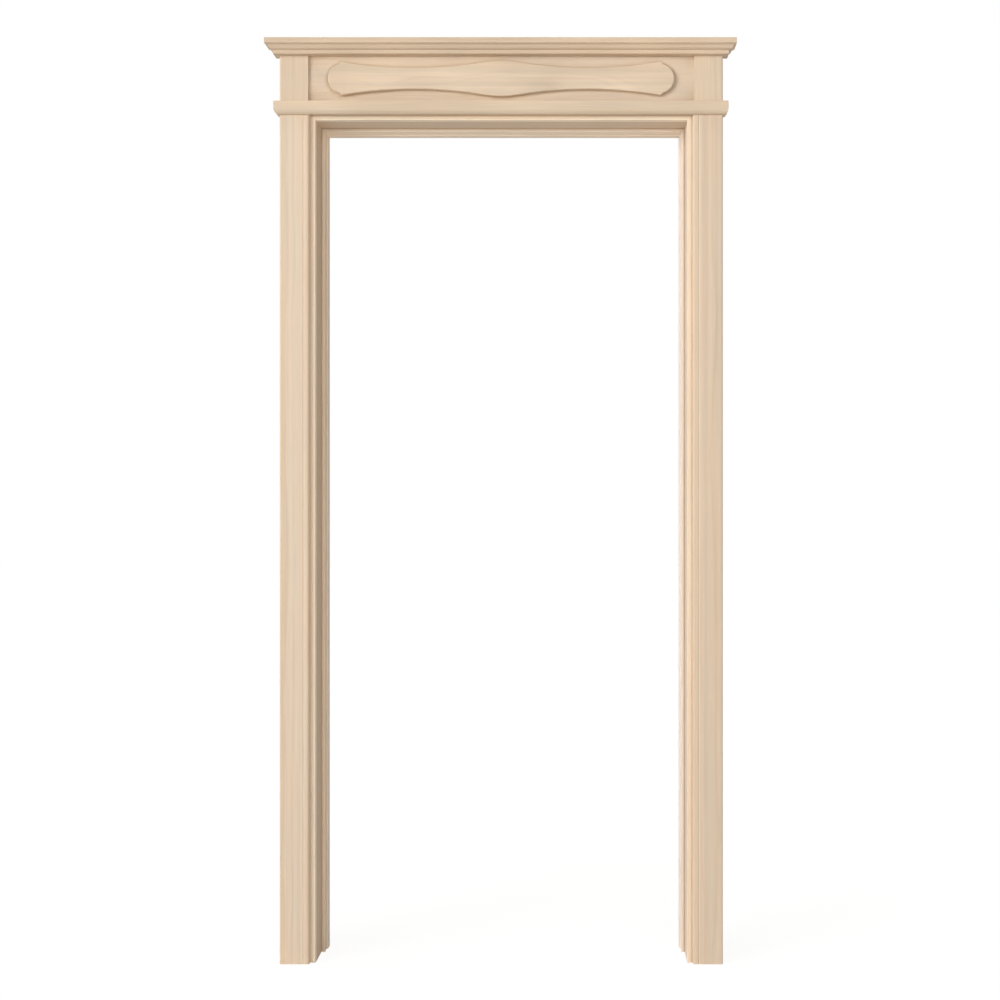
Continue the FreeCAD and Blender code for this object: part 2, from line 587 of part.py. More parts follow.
ornament = new_body("frieze_ornament")
outline = draw(ornament, "ornament_outline", "XZ_Plane", above + below, curves,
               offset="-frieze_setback")
ornament_pad = pad(ornament, "ornament_thickness", outline, "ornament_thickness")
front = number("frieze_setback - ornament_thickness")
SAME_PLANE = 0.001
front_edges = [
    f"Edge{place}" for place, edge in enumerate(ornament_pad.Shape.Edges, start=1)
    if max(abs(edge.BoundBox.YMin - front), abs(edge.BoundBox.YMax - front)) < SAME_PLANE]
easing = ornament.newObject("PartDesign::Chamfer", "ornament_eased_edge")
easing.Base = (ornament_pad, front_edges)
easing.setExpression("Size", sized("ornament_edge"))
ornament.Tip = easing
doc.recompute()
pieces.append(ornament)


def planted_moulding(name, profile, arcs, projection):
    """A moulding on the front of a rail, mitred at its ends to two short returns."""
    front_piece = new_body(f"{name}_front")
    outline = draw(front_piece, f"{name}_front_profile", "YZ_Plane", profile_in_room(profile), arcs)
    pad(front_piece, f"{name}_front_length", outline, f"2 * ({OUTER_EDGE} + {projection})", True)
    for side, sign in SIDES:
        mitre = draw(front_piece, f"{name}_front_{side}_mitre", "XY_Plane", to_side(sign, [
            (OUTER_EDGE, "0"),
            (f"{OUTER_EDGE} + {projection}", "0"),
            (f"{OUTER_EDGE} + {projection}", f"-{projection}")]))
        cut(front_piece, f"{name}_front_{side}_mitre_cut", mitre)
    pieces.append(front_piece)
    for side, sign in SIDES:
        piece = new_body(f"{side}_{name}_return")
        corners = to_side(sign, [(f"{OUTER_EDGE} + {out}", height) for out, height in profile])
        bulges = {corner: (radius, -bulge * sign) for corner, (radius, bulge) in arcs.items()}
        outline = draw(piece, f"{side}_{name}_profile", "XZ_Plane", corners, bulges,
                       offset="-pilaster_thickness")
        pad(piece, f"{side}_{name}_length", outline, f"pilaster_thickness + {projection}")
        mitre = draw(piece, f"{side}_{name}_mitre", "XY_Plane", to_side(sign, [
            (OUTER_EDGE, "0"),
            (OUTER_EDGE, f"-{projection}"),
            (f"{OUTER_EDGE} + {projection}", f"-{projection}")]))
        cut(piece, f"{side}_{name}_mitre_cut", mitre)
        pieces.append(piece)


# Band: a flat moulding that rounds back at its foot, on the lower rail and past its ends. The arc
# of the foot runs on from the flat face.
BAND_ROUND_RADIUS = "((band_round_height ^ 2 + band_round_depth ^ 2) / (2 * band_round_depth))"
planted_moulding("band", [
    ("0", FRIEZE_FOOT),
    ("band_projection - band_arris", FRIEZE_FOOT),
    ("band_projection", f"{FRIEZE_FOOT} - band_arris"),
    ("band_projection", f"{BAND_FOOT} + band_round_height"),
    ("band_projection - band_round_depth", BAND_FOOT),
    ("0", BAND_FOOT)],
    {1: ("band_arris", -1), 3: (BAND_ROUND_RADIUS, -1)},
    "band_projection")

# Crown: a square fascia over an ogee and a rounded foot, on the upper rail and past its ends.
OGEE_OUT = "(crown_projection - fascia_fillet)"
OGEE_IN = "(crown_foot_projection + fascia_fillet)"
OGEE_TOP = f"({FRAME_TOP} - fascia_height)"
OGEE_FOOT = f"({FRIEZE_TOP} + crown_foot_height)"
planted_moulding("crown", [
    ("0", FRAME_TOP),
    ("crown_projection", FRAME_TOP),
    ("crown_projection", OGEE_TOP),
    (OGEE_OUT, OGEE_TOP),
    (f"({OGEE_OUT} + {OGEE_IN}) / 2", f"({OGEE_TOP} + {OGEE_FOOT}) / 2"),
    (OGEE_IN, OGEE_FOOT),
    ("crown_foot_projection", OGEE_FOOT),
    ("crown_foot_projection", f"{FRIEZE_TOP} + crown_foot_round"),
    ("crown_foot_projection - crown_foot_round", FRIEZE_TOP),
    ("0", FRIEZE_TOP)],
    {3: ("crown_ogee_radius", 1), 4: ("crown_ogee_radius", -1), 7: ("crown_foot_round", -1)},
    "crown_projection")

# Rear architraves: plain boards with eased edges and hollowed backs, mitred at the two upper
# corners. The hollow starts where they leave the jamb, so that the outer edge sits on the wall.
REAR_FACE = f"({JAMB_BACK} + architrave_thickness)"
REAR_INSIDE = "architrave_margin"
REAR_OUTSIDE = "(architrave_margin + architrave_width)"
rear_profile = [
    (REAR_INSIDE, JAMB_BACK),
    ("jamb_thickness", JAMB_BACK),
    ("jamb_thickness", f"{JAMB_BACK} + back_relief_depth"),
    (f"{REAR_OUTSIDE} - back_relief_edge", f"{JAMB_BACK} + back_relief_depth"),
    (f"{REAR_OUTSIDE} - back_relief_edge", JAMB_BACK),
    (REAR_OUTSIDE, JAMB_BACK),
    (REAR_OUTSIDE, f"{REAR_FACE} - architrave_round"),
    (f"{REAR_OUTSIDE} - architrave_round", REAR_FACE),
    (f"{REAR_INSIDE} + architrave_round", REAR_FACE),
    (REAR_INSIDE, f"{REAR_FACE} - architrave_round")]
for side, sign in SIDES:
    body = new_body(f"{side}_rear_architrave")
    corners = [(f"{HALF_OPENING} + {across}", depth) for across, depth in rear_profile]
    arcs = sided_arcs(sign, {6: ("architrave_round", -1), 8: ("architrave_round", -1)})
    section = draw(body, f"{side}_rear_section", "XY_Plane", to_side(sign, corners), arcs)
    pad(body, f"{side}_rear_length", section, f"opening_height + {REAR_OUTSIDE}")
    mitre = draw(body, f"{side}_rear_mitre", "XZ_Plane", to_side(sign, [
        (f"{HALF_OPENING} + {REAR_INSIDE}", f"opening_height + {REAR_INSIDE}"),
        (f"{HALF_OPENING} + {REAR_OUTSIDE}", f"opening_height + {REAR_OUTSIDE}"),
        (f"{HALF_OPENING} + {REAR_INSIDE}", f"opening_height + {REAR_OUTSIDE}")]))
    cut(body, f"{side}_rear_mitre_cut", mitre)
    pieces.append(body)

body = new_body("head_rear_architrave")
corners = [(depth, f"opening_height + {across}") for across, depth in rear_profile]
section = draw(body, "head_rear_section", "YZ_Plane", corners,
               {6: ("architrave_round", 1), 8: ("architrave_round", 1)})
pad(body, "head_rear_length", section, f"opening_width + 2 * {REAR_OUTSIDE}", both_ways=True)
for side, sign in SIDES:
    mitre = draw(body, f"head_rear_{side}_mitre", "XZ_Plane", to_side(sign, [
        (f"{HALF_OPENING} + {REAR_INSIDE}", f"opening_height + {REAR_INSIDE}"),
        (f"{HALF_OPENING} + {REAR_OUTSIDE}", f"opening_height + {REAR_INSIDE}"),
        (f"{HALF_OPENING} + {REAR_OUTSIDE}", f"opening_height + {REAR_OUTSIDE}")]))
    cut(body, f"head_rear_{side}_mitre_cut", mitre)
pieces.append(body)

doc.recompute()
for item in doc.Objects:
    if "Invalid" in item.State or "Error" in item.State:
        raise RuntimeError(f"{item.Name} did not build: {item.State}")
os.makedirs("parts", exist_ok=True)
for piece in pieces:
    if piece.Shape.isNull() or not piece.Shape.isValid() or piece.Shape.Volume <= 0:
        raise RuntimeError(f"{piece.Label} has no sound shape")
for piece in pieces:
    piece.Shape.exportStep(f"parts/{piece.Label}.step")
    box = piece.Shape.BoundBox
    print(f"{piece.Label}: {len(piece.Shape.Solids)} solid(s), {box.XLength:.1f} x"
          f" {box.YLength:.1f} x {box.ZLength:.1f} mm, {piece.Shape.Volume / 1000:.1f} cm3")
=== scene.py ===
import bmesh
import bpy
from math import cos, pi, radians, sin
from mathutils import Matrix, Vector


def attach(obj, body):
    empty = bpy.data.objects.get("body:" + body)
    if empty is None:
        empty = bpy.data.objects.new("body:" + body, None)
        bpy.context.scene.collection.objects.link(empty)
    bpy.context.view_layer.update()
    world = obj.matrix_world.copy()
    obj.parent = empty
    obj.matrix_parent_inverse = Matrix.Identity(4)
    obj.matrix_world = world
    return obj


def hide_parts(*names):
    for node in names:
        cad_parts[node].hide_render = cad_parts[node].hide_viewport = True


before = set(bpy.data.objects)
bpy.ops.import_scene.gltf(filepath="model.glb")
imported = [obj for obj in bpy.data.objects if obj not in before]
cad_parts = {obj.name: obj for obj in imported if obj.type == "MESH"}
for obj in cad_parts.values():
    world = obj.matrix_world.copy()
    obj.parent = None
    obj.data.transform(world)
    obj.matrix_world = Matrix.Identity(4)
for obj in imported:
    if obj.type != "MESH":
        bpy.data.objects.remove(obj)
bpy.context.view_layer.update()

scene = bpy.context.scene
scene.view_settings.view_transform = "Standard"

# Pilasters: two flat boards of bare, straight-grained softwood, planed and sanded. Their inner edge
# has a flattened bead beside a fine groove, and the outer edge is rounded over. They are nailed
# and glued to the lining, and stand on the floor.
PILASTER_TONES = {"left": (0.790, 0.630, 0.472), "right": (0.730, 0.575, 0.423)}
PILASTER_BANDS = {"left": 0.16, "right": 0.27}
ARRIS = 0.0005
SHARP_TURN = radians(32)
FLAT_TURN = radians(0.5)
SAME_PLACE = 1e-6

# How the grain lies on the log's axes, and which way its end faces.
GRAIN_TURN = {"X": (0, -pi / 2, 0), "Y": (pi / 2, 0, 0), "Z": (0, 0, 0)}
GRAIN_WAY = {"X": (1, 0, 0), "Y": (0, 1, 0), "Z": (0, 0, 1)}

# Waves to a metre across and along the grain.
RING_SWAY = (("X", (5.0, 1.1), 4), ("Y", (9.0, 2.3), 3))
RING_FADE = (26.0, 0.7)
FIBRES = (520.0, 9.0, 3.0)
STRIPES = (110.0, 0.5)
PATCHES = (16.0, 5.0, 1.0)
WARMTH = (27.0, 2.0, 1.0)

# How far each mark lightens or darkens the wood, and tints its red, green and blue.
RING_SHADE = -0.11
FIBRE_SHADE = 0.20
END_SHADE = -0.30
END_BASE = 0.55
WARM_TINT = (0.08, -0.02, -0.10)
LATE_TINT = (0.0, -0.030, -0.085)


def join(tree, source, target):
    """Lead one socket of a material to another."""
    tree.links.new(source, target)


def number_node(tree, operation, first, second=0.5):
    """One sum on a number, which may come from a socket or be plain."""
    node = tree.nodes.new("ShaderNodeMath")
    node.operation = operation
    for socket, value in zip(node.inputs, (first, second)):
        if isinstance(value, bpy.types.NodeSocket):
            join(tree, value, socket)
        else:
            socket.default_value = value
    return node.outputs[0]


def between(tree, value, low, high, to_low, to_high, smooth=True):
    """A number moved from one span to another."""
    node = tree.nodes.new("ShaderNodeMapRange")
    node.interpolation_type = "SMOOTHSTEP" if smooth else "LINEAR"
    join(tree, value, node.inputs["Value"])
    for name, limit in (("From Min", low), ("From Max", high), ("To Min", to_low), ("To Max", to_high)):
        node.inputs[name].default_value = limit
    return node.outputs["Result"]


def streaks(tree, place, across, along, detail=2.0):
    """Noise drawn out along the grain: its scale across and along, in waves to a metre."""
    stretch = tree.nodes.new("ShaderNodeMapping")
    stretch.inputs["Scale"].default_value = (across, across, along)
    join(tree, place, stretch.inputs["Vector"])
    noise = tree.nodes.new("ShaderNodeTexNoise")
    noise.inputs["Scale"].default_value = 1.0
    noise.inputs["Detail"].default_value = detail
    join(tree, stretch.outputs["Vector"], noise.inputs["Vector"])
    return noise.outputs["Fac"]


def softwood(name, grain, heart, tone, ring=0.0042, marks=1.0, wander=0.010, cloud=0.06, bands=0.18):
    """Bare softwood from a log whose pith runs along the grain through the point heart.

    ring is the usual width of one year's growth, marks how strongly the rings show, wander how
    far they stray along the log, and cloud and bands how far paler and darker wood alternates
    along and across the board.
    """
    material = bpy.data.materials.new(name)
    material.use_nodes = True
    tree = material.node_tree
    shader = tree.nodes["Principled BSDF"]
    coordinates = tree.nodes.new("ShaderNodeTexCoord")
    from_pith = tree.nodes.new("ShaderNodeVectorMath")
    from_pith.operation = "SUBTRACT"
    from_pith.inputs[1].default_value = heart
    join(tree, coordinates.outputs["Object"], from_pith.inputs[0])
    along_log = tree.nodes.new("ShaderNodeMapping")
    along_log.inputs["Rotation"].default_value = GRAIN_TURN[grain]
    join(tree, from_pith.outputs["Vector"], along_log.inputs["Vector"])
    place = along_log.outputs["Vector"]

    # Growth rings round the pith, which stray a little and differ in width from year to year.
    parts = tree.nodes.new("ShaderNodeSeparateXYZ")
    join(tree, place, parts.inputs[0])
    squares = []
    for axis, waves, share in RING_SWAY:
        sway = number_node(tree, "SUBTRACT", streaks(tree, place, *waves), 0.5)
        swayed = number_node(tree, "ADD", parts.outputs[axis],
                             number_node(tree, "MULTIPLY", sway, wander * share))
        squares.append(number_node(tree, "MULTIPLY", swayed, swayed))
    radius = number_node(tree, "SQRT", number_node(tree, "ADD", *squares))
    seasons = tree.nodes.new("ShaderNodeTexNoise")
    seasons.noise_dimensions = "1D"
    seasons.inputs["Scale"].default_value = 0.35 / ring
    join(tree, radius, seasons.inputs["W"])
    uneven = number_node(tree, "MULTIPLY", seasons.outputs["Fac"], 3.0)
    year = number_node(tree, "FRACT",
                       number_node(tree, "ADD", number_node(tree, "DIVIDE", radius, ring), uneven))
    latewood = number_node(tree, "MULTIPLY", between(tree, year, 0.30, 0.90, 0.0, 1.0),
                           between(tree, year, 0.94, 1.0, 1.0, 0.0))
    faded = between(tree, streaks(tree, place, *RING_FADE), 0.35, 0.68, 0.15, 1.0)
    ring_mark = number_node(tree, "MULTIPLY", latewood, faded)

    # Fine fibres run all along the board, between streaks and wide patches of lighter wood.
    fibres = streaks(tree, place, *FIBRES)
    fine = number_node(tree, "SUBTRACT", fibres, 0.5)
    stripes, patches, warmth = (number_node(tree, "SUBTRACT", streaks(tree, place, *waves), 0.5)
                                for waves in (STRIPES, PATCHES, WARMTH))

    # Cut ends show the fibres end on, and are darker.
    facing = tree.nodes.new("ShaderNodeVectorMath")
    facing.operation = "DOT_PRODUCT"
    facing.inputs[1].default_value = GRAIN_WAY[grain]
    join(tree, coordinates.outputs["Normal"], facing.inputs[0])
    end_on = between(tree, number_node(tree, "ABSOLUTE", facing.outputs["Value"]), 0.75, 0.95, 0.0, 1.0)
    ends = number_node(tree, "MULTIPLY", end_on, number_node(tree, "ADD", ring_mark, END_BASE))

    bright = number_node(tree, "ADD", number_node(tree, "MULTIPLY", ends, END_SHADE), 1.0)
    for mark, strength in ((ring_mark, RING_SHADE * marks), (fine, FIBRE_SHADE), (stripes, bands),
                           (patches, cloud)):
        bright = number_node(tree, "ADD", bright, number_node(tree, "MULTIPLY", mark, strength))

    # Red, green and blue part a little with the warmth, and more in the dark latewood.
    colour = tree.nodes.new("ShaderNodeCombineColor")
    for channel, level, warm, late in zip(("Red", "Green", "Blue"), tone, WARM_TINT, LATE_TINT):
        tint = number_node(tree, "MULTIPLY", warmth, warm)
        dark = number_node(tree, "MULTIPLY", ring_mark, late * marks)
        value = number_node(tree, "ADD", bright, number_node(tree, "ADD", tint, dark))
        join(tree, number_node(tree, "MULTIPLY", value, level), colour.inputs[channel])
    join(tree, colour.outputs["Color"], shader.inputs["Base Color"])
    rough = number_node(tree, "ADD", number_node(tree, "MULTIPLY", ring_mark, -0.08),
                        number_node(tree, "ADD", number_node(tree, "MULTIPLY", fine, 0.2), 0.62))
    join(tree, rough, shader.inputs["Roughness"])
    shader.inputs["Specular IOR Level"].default_value = 0.3

    # Sanding leaves the hard latewood a little proud of the fibres beside it.
    relief = number_node(tree, "ADD", number_node(tree, "MULTIPLY", ring_mark, 0.5), fibres)
    bump = tree.nodes.new("ShaderNodeBump")
    bump.inputs["Strength"].default_value = 0.25
    bump.inputs["Distance"].default_value = 0.0002
    join(tree, relief, bump.inputs["Height"])
    join(tree, bump.outputs["Normal"], shader.inputs["Normal"])
    return material


def placed(name, shape, material, node):
    """A new piece of the frame, which stands for a node of the CAD model."""
    bmesh.ops.recalc_face_normals(shape, faces=shape.faces)
    mesh = bpy.data.meshes.new(name)
    shape.to_mesh(mesh)
    shape.free()
    mesh.materials.append(material)
    mesh.polygons.foreach_set("use_smooth", [True] * len(mesh.polygons))
    mesh.set_sharp_from_angle(angle=SHARP_TURN)
    piece = bpy.data.objects.new(name, mesh)
    scene.collection.objects.link(piece)
    level = piece.modifiers.new("level_faces", "WEIGHTED_NORMAL")
    level.keep_sharp = True
    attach(piece, "root")
    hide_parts(node)
    return piece


def shape_of(node):
    """The shape of a node, with the triangles of each flat face joined to one face."""
    shape = bmesh.new()
    shape.from_mesh(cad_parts[node].data)
    bmesh.ops.remove_doubles(shape, verts=shape.verts, dist=SAME_PLACE)
    bmesh.ops.dissolve_limit(shape, angle_limit=FLAT_TURN, verts=shape.verts, edges=shape.edges)
    return shape


def dressed(node, name, material):
    """The piece of a node, with its sharp edges sanded to a small round."""
    shape = shape_of(node)
    sharp = [edge for edge in shape.edges if edge.is_manifold and edge.calc_face_angle(0) > SHARP_TURN]
    bmesh.ops.bevel(shape, geom=sharp, offset=ARRIS, offset_type="OFFSET", segments=2, profile=0.5,
                    affect="EDGES", clamp_overlap=True, material=-1)
    return placed(name, shape, material, node)


for side, sign in (("left", -1), ("right", 1)):
    wood = softwood(f"{side}_pilaster_softwood", "Z", (sign * 0.56, 0.05 + 0.03 * sign, 0.4 * sign),
                    PILASTER_TONES[side], ring=0.009, marks=0.6, wander=0.005, cloud=0.03,
                    bands=PILASTER_BANDS[side])
    dressed(f"{side}_pilaster", f"{side}_pilaster_board", wood)

# Lining: two side jambs and a head jamb of wider boards, 32 mm thick, which line the wall's
# opening. The head jamb is let into the tops of the side jambs and screwed from outside.
# The left jamb is painted darker and the right one paler than the head, as painted shade on the left
# reveal and painted light on the right one.
LINING_TONES_WITH_PAINTED_SHADE = {"left": (0.690, 0.520, 0.360), "right": (0.780, 0.625, 0.485),
                "head": (0.740, 0.575, 0.420)}
for side, sign in (("left", -1), ("right", 1)):
    wood = softwood(f"{side}_jamb_softwood", "Z", (sign * 0.41, -0.12, 1.3 * sign),
                    LINING_TONES_WITH_PAINTED_SHADE[side], marks=0.6, bands=0.10)
    dressed(f"{side}_jamb", f"{side}_jamb_board", wood)
wood = softwood("head_jamb_softwood", "X", (0.3, 0.13, 2.02), LINING_TONES_WITH_PAINTED_SHADE["head"])
dressed("head_jamb", "head_jamb_board", wood)

# Stops: strips with a stepped front edge, let into a shallow groove in each jamb and glued. The
# leaf closes against their rear face.
# All the stops are painted very pale, the head one palest, as painted light that brightens the shade
# they sit in inside the lining.
STOP_TONES_WITH_PAINTED_LIGHT = {"left": (0.900, 0.740, 0.570), "right": (0.890, 0.775, 0.665),
              "head": (0.950, 0.800, 0.640)}
for side, sign in (("left", -1), ("right", 1)):
    wood = softwood(f"{side}_stop_softwood", "Z", (sign * 0.52, 0.16, 0.7), STOP_TONES_WITH_PAINTED_LIGHT[side],
                    ring=0.007, marks=0.5, bands=0.08)
    dressed(f"{side}_stop", f"{side}_stop_strip", wood)
wood = softwood("head_stop_softwood", "X", (0.2, 0.11, 2.2), STOP_TONES_WITH_PAINTED_LIGHT["head"])
dressed("head_stop", "head_stop_strip", wood)

# Inner moulding: one narrow, paler strip mitred round the opening, between the lining's edge and
# the pilasters, with a fine groove beside it. Its tongue is held under the pilasters.
# The left and head strips are painted paler than the right one, as painted light over the shade that the
# pilaster and the band cast on them.
INNER_TONES_WITH_PAINTED_LIGHT = {"left": (0.955, 0.785, 0.600), "right": (0.900, 0.735, 0.555),
               "head": (0.960, 0.795, 0.610)}
for side, sign in (("left", -1), ("right", 1)):
    wood = softwood(f"{side}_inner_softwood", "Z", (sign * 0.30, -0.02, 0.9), INNER_TONES_WITH_PAINTED_LIGHT[side],
                    marks=0.6, bands=0.10)
    dressed(f"{side}_inner_moulding", f"{side}_inner_strip", wood)
wood = softwood("head_inner_softwood", "X", (0.1, -0.02, 2.3), INNER_TONES_WITH_PAINTED_LIGHT["head"])
dressed("head_inner_moulding", "head_inner_strip", wood)

# Header: two rails and, between them, a block over each pilaster, dowelled together. The blocks
# stand with their grain upright.
HEADER_TONE = (0.745, 0.592, 0.437)
for rail, height in (("lower_rail", 2.35), ("upper_rail", 2.05)):
    wood = softwood(f"{rail}_softwood", "X", (0.4, -0.03, height), HEADER_TONE)
    dressed(rail, f"{rail}_board", wood)
for side, sign in (("left", -1), ("right", 1)):
    wood = softwood(f"{side}_block_softwood", "Z", (sign * 0.58, 0.04, 2.0), HEADER_TONE, ring=0.008,
                    marks=0.5)
    dressed(f"{side}_frieze_block", f"{side}_block", wood)

# Frieze: a wide flat-sawn board tongued into the rails and the blocks. Its face is routed a little
# lower all round the seat of the ornament, in a soft hollow that is deepest at the ornament's edge.
HOLLOW_REACH = 0.011
HOLLOW_DEPTH = 0.004
HOLLOW_SHARES = (1.0, 0.78, 0.56, 0.36, 0.18, 0.0)
SEAT_INSET = 0.001
FULL_REACH = 0.999
SHORTEST_STEP = 0.0002
FACING_SQUARE = 0.99
TOWARD_ROOM = Vector((0, -1, 0))


def widest_face(shape, facing):
    """The largest face that looks in a direction."""
    return max((face for face in shape.faces if face.normal.dot(facing) > FACING_SQUARE),
               key=lambda face: face.calc_area())


def moved_out(outline, reach):
    """A closed outline in an upright plane, moved outward by reach, or inward where that is negative."""
    pairs = list(zip(outline, outline[1:] + outline[:1]))
    turn = 1 if sum(a.x * b.z - b.x * a.z for a, b in pairs) > 0 else -1
    outward = [Vector((b.z - a.z, 0, a.x - b.x)).normalized() * turn for a, b in pairs]
    moved = []
    for index, corner in enumerate(outline):
        before, behind = outward[index - 1], outward[index]
        middle = (before + behind).normalized()
        opens = (before.x * behind.z - before.z * behind.x) * turn * reach > 0
        for way in (before, behind) if opens else (middle / middle.dot(before),):
            place = corner + way * reach
            shares = [min(1, max(0, (place - a).dot(b - a) / (b - a).length_squared)) for a, b in pairs]
            clear = min((place - a.lerp(b, share)).length for (a, b), share in zip(pairs, shares))
            repeated = moved and (place - moved[-1]).length < SHORTEST_STEP
            if clear > abs(reach) * FULL_REACH and not repeated:
                moved.append(place)
    return moved


def hollow_round_ornament(shape):
    """Sink the face of the frieze towards the ornament's outline, and leave its seat level."""
    ornament = shape_of("frieze_ornament")
    outline = [point.co.copy() for point in widest_face(ornament, -TOWARD_ROOM).verts]
    ornament.free()
    rows = []
    for share in HOLLOW_SHARES:
        row = outline if share == 0 else moved_out(outline, share * HOLLOW_REACH)
        sunk = TOWARD_ROOM * -HOLLOW_DEPTH * (1 - share) ** 2
        rows.append([place + sunk for place in row])
    rows.append(moved_out(outline, -SEAT_INSET))
    face = widest_face(shape, TOWARD_ROOM)
    outer = list(face.edges)
    bmesh.ops.delete(shape, geom=[face], context="FACES_ONLY")
    for row in rows:
        points = [shape.verts.new(place) for place in row]
        inner = [shape.edges.new((points[step - 1], points[step])) for step in range(len(points))]
        bmesh.ops.triangle_fill(shape, edges=outer + inner, normal=TOWARD_ROOM, use_beauty=True)
        outer = inner
    shape.faces.new(points)


wood = softwood("frieze_softwood", "X", (0.2, 0.07, 2.10), HEADER_TONE, ring=0.0055, marks=0.3,
                wander=0.014, cloud=0.26, bands=0.08)
shape = shape_of("frieze_board")
hollow_round_ornament(shape)
placed("frieze_panel", shape, wood, "frieze_board")

# Ornament: a long shaped panel, sawn from one flat-cut board, sanded and glued to the frieze. It
# has a peak at its centre, two waists, and eared, rounded ends.
ORNAMENT_TONE = (0.738, 0.587, 0.431)
wood = softwood("ornament_softwood", "X", (0.6, 0.05, 2.17), ORNAMENT_TONE, ring=0.0062, marks=0.5,
                wander=0.016, cloud=0.42, bands=0.24)
dressed("frieze_ornament", "shaped_ornament", wood)

# Band: a flat moulding that rounds back at its foot, planted on the lower rail and mitred to two
# short returns at its ends.
BAND_TONE = (0.725, 0.572, 0.415)
wood = softwood("band_softwood", "X", (0.9, 0.06, 2.02), BAND_TONE, marks=0.5, cloud=0.24)
dressed("band_front", "band_moulding", wood)
for side, sign in (("left", -1), ("right", 1)):
    wood = softwood(f"{side}_band_return_softwood", "Y", (sign * 0.60, 0.1, 2.04), BAND_TONE)
    dressed(f"{side}_band_return", f"{side}_band_end", wood)

# Crown: a fascia over an ogee and a rounded foot, all in one moulding, planted on the upper rail
# and mitred to two short returns.
CROWN_TONE = (0.705, 0.545, 0.392)
wood = softwood("crown_softwood", "X", (0.5, 0.08, 2.16), CROWN_TONE, ring=0.005, marks=0.5,
                cloud=0.25)
dressed("crown_front", "crown_moulding", wood)
for side, sign in (("left", -1), ("right", 1)):
    wood = softwood(f"{side}_crown_return_softwood", "Y", (sign * 0.66, 0.2, 2.12), CROWN_TONE)
    dressed(f"{side}_crown_return", f"{side}_crown_end", wood)

# Rear architraves: plain, eased boards mitred at the upper corners, which cover the joint of the
# lining and the wall on the side away from the header.
ARCHITRAVE_TONE = (0.720, 0.565, 0.412)
for side, sign in (("left", -1), ("right", 1)):
    wood = softwood(f"{side}_architrave_softwood", "Z", (sign * 0.44, 0.24, 0.2), ARCHITRAVE_TONE)
    dressed(f"{side}_rear_architrave", f"{side}_architrave_board", wood)
wood = softwood("head_architrave_softwood", "X", (0.7, 0.22, 2.03), ARCHITRAVE_TONE)
dressed("head_rear_architrave", "head_architrave_board", wood)

# Corner screws: three zinc-plated countersunk screws at each upper corner, cross-headed, with a
# plain shank and a coarse thread. They go through the side jamb into the end of the head jamb.
SCREW_ROWS = (-0.0305, 0.0195, 0.0695)
SCREW_LEVEL = 2.101
JAMB_OUTSIDE = 0.492
HEAD_RADIUS = 0.0045
HEAD_DEPTH = 0.004
SHANK_RADIUS = 0.00225
CORE_RADIUS = 0.0015
THREAD_START = 0.026
THREAD_END = 0.064
SCREW_LENGTH = 0.070
PITCH = 0.0026
RINGS_A_TURN = 8
TIP_SHARE = 0.12
ROUND_STEPS = 24
RECESS_REACH = 0.0024
RECESS_HALF_WIDTH = 0.0006
RECESS_DEPTH = 0.0022
RECESS_FOOT_SHARE = 0.55


def ring_of(shape, reach, radii):
    """A closed row of points round the X axis, each at its own radius."""
    turns = [2 * pi * step / len(radii) for step in range(len(radii))]
    return [shape.verts.new((reach, radius * cos(turn), radius * sin(turn)))
            for turn, radius in zip(turns, radii)]


def skin(shape, first, second):
    """Faces between two closed rows of as many points."""
    for step in range(len(first)):
        after = (step + 1) % len(first)
        shape.faces.new((first[step], first[after], second[after], second[step]))


def cross_outline(shape, reach, shrink):
    """The twelve corners of a cross recess."""
    arm, half = RECESS_REACH * shrink, RECESS_HALF_WIDTH * shrink
    corners = []
    for quarter in range(4):
        turn = Matrix.Rotation(quarter * pi / 2, 3, "X")
        for across, up in ((arm, -half), (arm, half), (half, half)):
            corners.append(shape.verts.new(turn @ Vector((reach, across, up))))
    return corners


def thread_radii(reach):
    """The radii round the thread: its crest winds on by one pitch a turn and tapers at the tip."""
    begun = min(1.0, (reach - THREAD_START) / PITCH)
    taper = min(1.0, max(TIP_SHARE, (SCREW_LENGTH - reach) / (SCREW_LENGTH - THREAD_END)))
    radii = []
    for step in range(ROUND_STEPS):
        crest = 1 - abs(2 * ((reach / PITCH - step / ROUND_STEPS) % 1) - 1)
        cut = CORE_RADIUS + (SHANK_RADIUS - CORE_RADIUS) * crest
        radii.append((SHANK_RADIUS + (cut - SHANK_RADIUS) * begun) * taper)
    return radii


def add_screw(shape, place, inward):
    """One screw along X from the middle of its head, pointing inward."""
    older = len(shape.verts)
    rim = ring_of(shape, 0, [HEAD_RADIUS] * ROUND_STEPS)
    mouth = cross_outline(shape, 0, 1.0)
    foot = cross_outline(shape, RECESS_DEPTH, RECESS_FOOT_SHARE)
    rim_edges = [shape.edges.new((rim[step - 1], rim[step])) for step in range(len(rim))]
    mouth_edges = [shape.edges.new((mouth[step - 1], mouth[step])) for step in range(len(mouth))]
    bmesh.ops.triangle_fill(shape, edges=rim_edges + mouth_edges, use_beauty=True)
    skin(shape, mouth, foot)
    shape.faces.new(foot)
    rings = [rim] + [ring_of(shape, reach, [SHANK_RADIUS] * ROUND_STEPS)
                     for reach in (HEAD_DEPTH, THREAD_START)]
    turned = SCREW_LENGTH - THREAD_START
    count = round(turned / PITCH * RINGS_A_TURN)
    for step in range(1, count + 1):
        reach = THREAD_START + turned * step / count
        rings.append(ring_of(shape, reach, thread_radii(reach)))
    for first, second in zip(rings, rings[1:]):
        skin(shape, first, second)
    shape.faces.new(rings[-1])
    shape.verts.ensure_lookup_table()
    for point in shape.verts[older:]:
        point.co = Vector((point.co.x * inward, point.co.y, point.co.z)) + place


